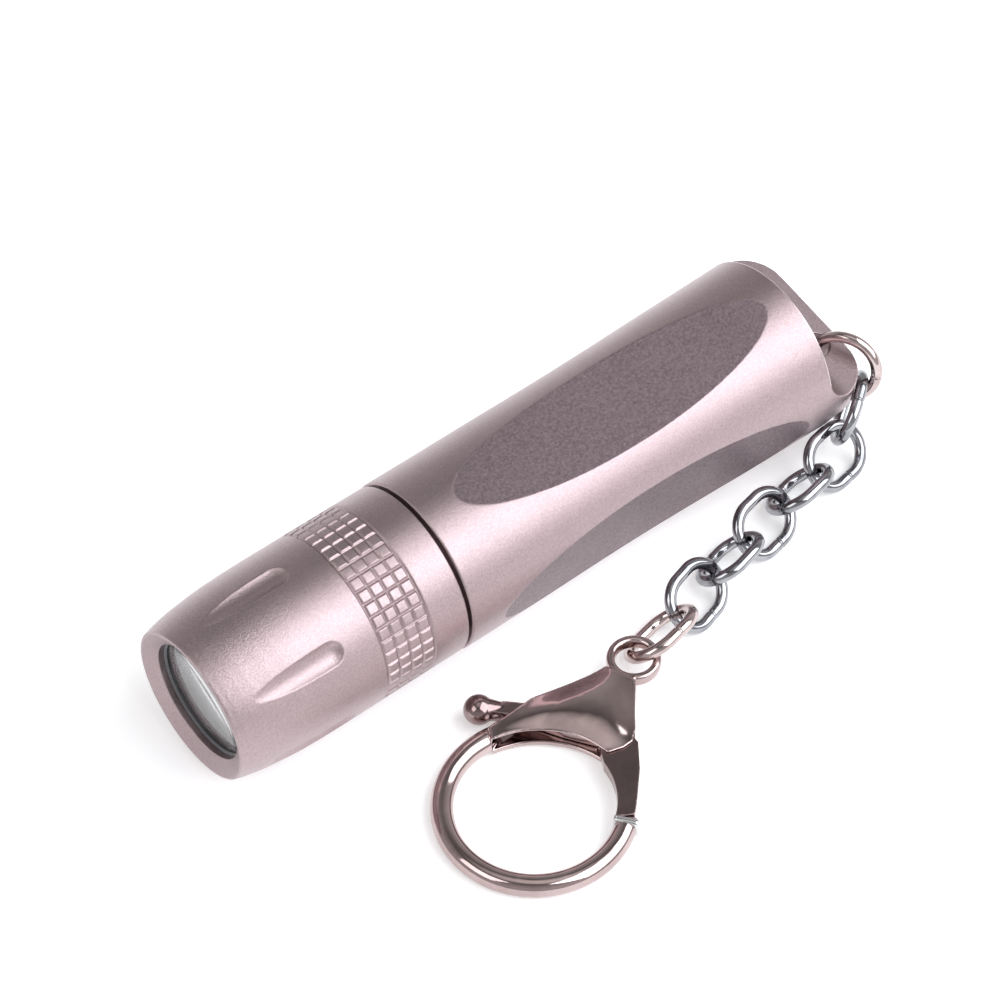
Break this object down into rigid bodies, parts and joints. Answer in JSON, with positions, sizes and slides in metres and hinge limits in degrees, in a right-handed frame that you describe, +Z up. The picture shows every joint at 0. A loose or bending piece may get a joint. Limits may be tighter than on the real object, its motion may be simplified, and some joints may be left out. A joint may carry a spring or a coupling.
{
  "type": "keychain flashlight",
  "caption": "Small twist-head flashlight with fluted, knurled head, scooped grip and flat lanyard tab, on an oval-link chain with a lobster clasp.",
  "frame": {"origin": "middle of the footprint of the whole object as it lies with its chain beside it, on the surface it lies on", "axes": "+X along the light's axis from lens to lanyard tab, -Y towards the chain's side, +Z up"},
  "size_m": [0.0882, 0.0492, 0.0216],
  "materials": {
    "anodised_shell": "satin bead-blast, champagne anodised",
    "lens_clear": "clear, polished",
    "dark_rubber": "matt",
    "reflector_bright": "vacuum-metallised",
    "board_white": "white solder mask on metal core",
    "led_ceramic": "white ceramic",
    "led_silicone": "yellow phosphor under clear silicone",
    "plain_aluminium": "turned",
    "board_green": "solder mask",
    "contact_brass": "gold-plated",
    "insulator": "matt moulding",
    "spring_steel": "bright drawn wire",
    "cell_steel": "nickel-plated steel can, weighed as aluminium",
    "cell_label": "plain shrink sleeve",
    "cell_fibre": "fibre washer",
    "chain_nickel": "nickel-plated, slightly tarnished",
    "rose_plating": "rose-gold plated",
    "clasp_plating": "polished rose-gunmetal plating",
    "lever_plating": "polished rose-gunmetal plating",
    "rivet_steel": "plated pin"
  },
  "bodies": {
    "tube": {"body_tube": "anodised_shell", "neck_oring": "dark_rubber", "tail_contact": "contact_brass", "tail_spring": "spring_steel"},
    "cell": {"cell_can": "cell_steel", "cell_wrap": "cell_label", "cell_washer": "cell_fibre", "cell_nub": "cell_steel"},
    "head": {"head_shell": "anodised_shell", "lens": "lens_clear", "lens_gasket": "dark_rubber", "reflector": "reflector_bright", "led_board": "board_white", "led_package": "led_ceramic", "led_dome": "led_silicone", "pill": "plain_aluminium", "driver_board": "board_green", "positive_contact": "contact_brass", "insulating_ring": "insulator"},
    "ring": {"tail_ring": "rose_plating"},
    "link_1": {"link_1": "chain_nickel"},
    "link_2": {"link_2": "chain_nickel"},
    "link_3": {"link_3": "chain_nickel"},
    "link_4": {"link_4": "chain_nickel"},
    "link_5": {"link_5": "chain_nickel"},
    "link_6": {"link_6": "chain_nickel"},
    "clasp_link": {"clasp_link": "rose_plating"},
    "clasp": {"clasp_body": "clasp_plating", "clasp_rivet": "rivet_steel", "clasp_spring": "spring_steel"},
    "lever": {"clasp_lever": "lever_plating"}
  },
  "joints": [
    {"name": "head_twist", "type": "hinge", "parent": "cell", "child": "head", "pos_m": [-0.02984, 0.01379, 0.0108], "axis": [-1, 0, 0], "range_deg": [-90, 1800]},
    {"name": "cell_travel", "type": "slide", "parent": "tube", "child": "cell", "axis": [-1, 0, 0], "range_m": [-0.00025, 0.005], "deforming": ["tail_spring"]},
    {"name": "ring_swing", "type": "hinge", "parent": "tube", "child": "ring", "pos_m": [0.03976, 0.01025, 0.01014], "axis": [0, -0.1822, 0.9833], "range_deg": [0, 60]},
    {"name": "link_1_swing", "type": "hinge", "parent": "ring", "child": "link_1", "pos_m": [0.04143, 0.00702, 0.00955], "axis": [-0.8494, -0.4798, 0.22], "range_deg": [0, 20]},
    {"name": "link_2_swing", "type": "hinge", "parent": "link_1", "child": "link_2", "pos_m": [0.03819, 0.00399, 0.00307], "axis": [0.7011, 0.6888, -0.1842], "range_deg": [0, 20]},
    {"name": "link_3_swing", "type": "hinge", "parent": "link_2", "child": "link_3", "pos_m": [0.03209, 0.00105, 0.00288], "axis": [0.1164, -0.6654, -0.7374], "range_deg": [-30, 40]},
    {"name": "link_4_swing", "type": "hinge", "parent": "link_3", "child": "link_4", "pos_m": [0.02575, -0.00016, 0.00288], "axis": [0.1435, -0.7525, 0.6428], "range_deg": [-4, 40]},
    {"name": "link_5_swing", "type": "hinge", "parent": "link_4", "child": "link_5", "pos_m": [0.01943, -0.00145, 0.00288], "axis": [0.136, -0.6683, -0.7314], "range_deg": [-30, 40]},
    {"name": "link_6_swing", "type": "hinge", "parent": "link_5", "child": "link_6", "pos_m": [0.01316, -0.00295, 0.00288], "axis": [0.1788, -0.7449, 0.6428], "range_deg": [-5, 40]},
    {"name": "clasp_link_swing", "type": "hinge", "parent": "link_6", "child": "clasp_link", "pos_m": [0.00695, -0.00468, 0.00288], "axis": [0.1823, -0.6572, -0.7314], "range_deg": [-30, 40]},
    {"name": "clasp_swing", "type": "hinge", "parent": "clasp_link", "child": "clasp", "pos_m": [-0.00029, -0.00608, 0.0028], "axis": [-0.0317, -0.0118, 0.9994], "range_deg": [-4, 40]},
    {"name": "gate_lever", "type": "hinge", "parent": "clasp", "child": "lever", "pos_m": [-0.00811, -0.01143, 0.00234], "axis": [0.0317, 0.0118, -0.9994], "range_deg": [0, 25], "stiffness_Nm_per_rad": 0.002, "springref_deg": -28.65, "deforming": ["clasp_spring"]}
  ],
  "couplings": [
    {"joint": "head_twist", "follows": "cell_travel", "rad_per_m": 6283.2}
  ]
}
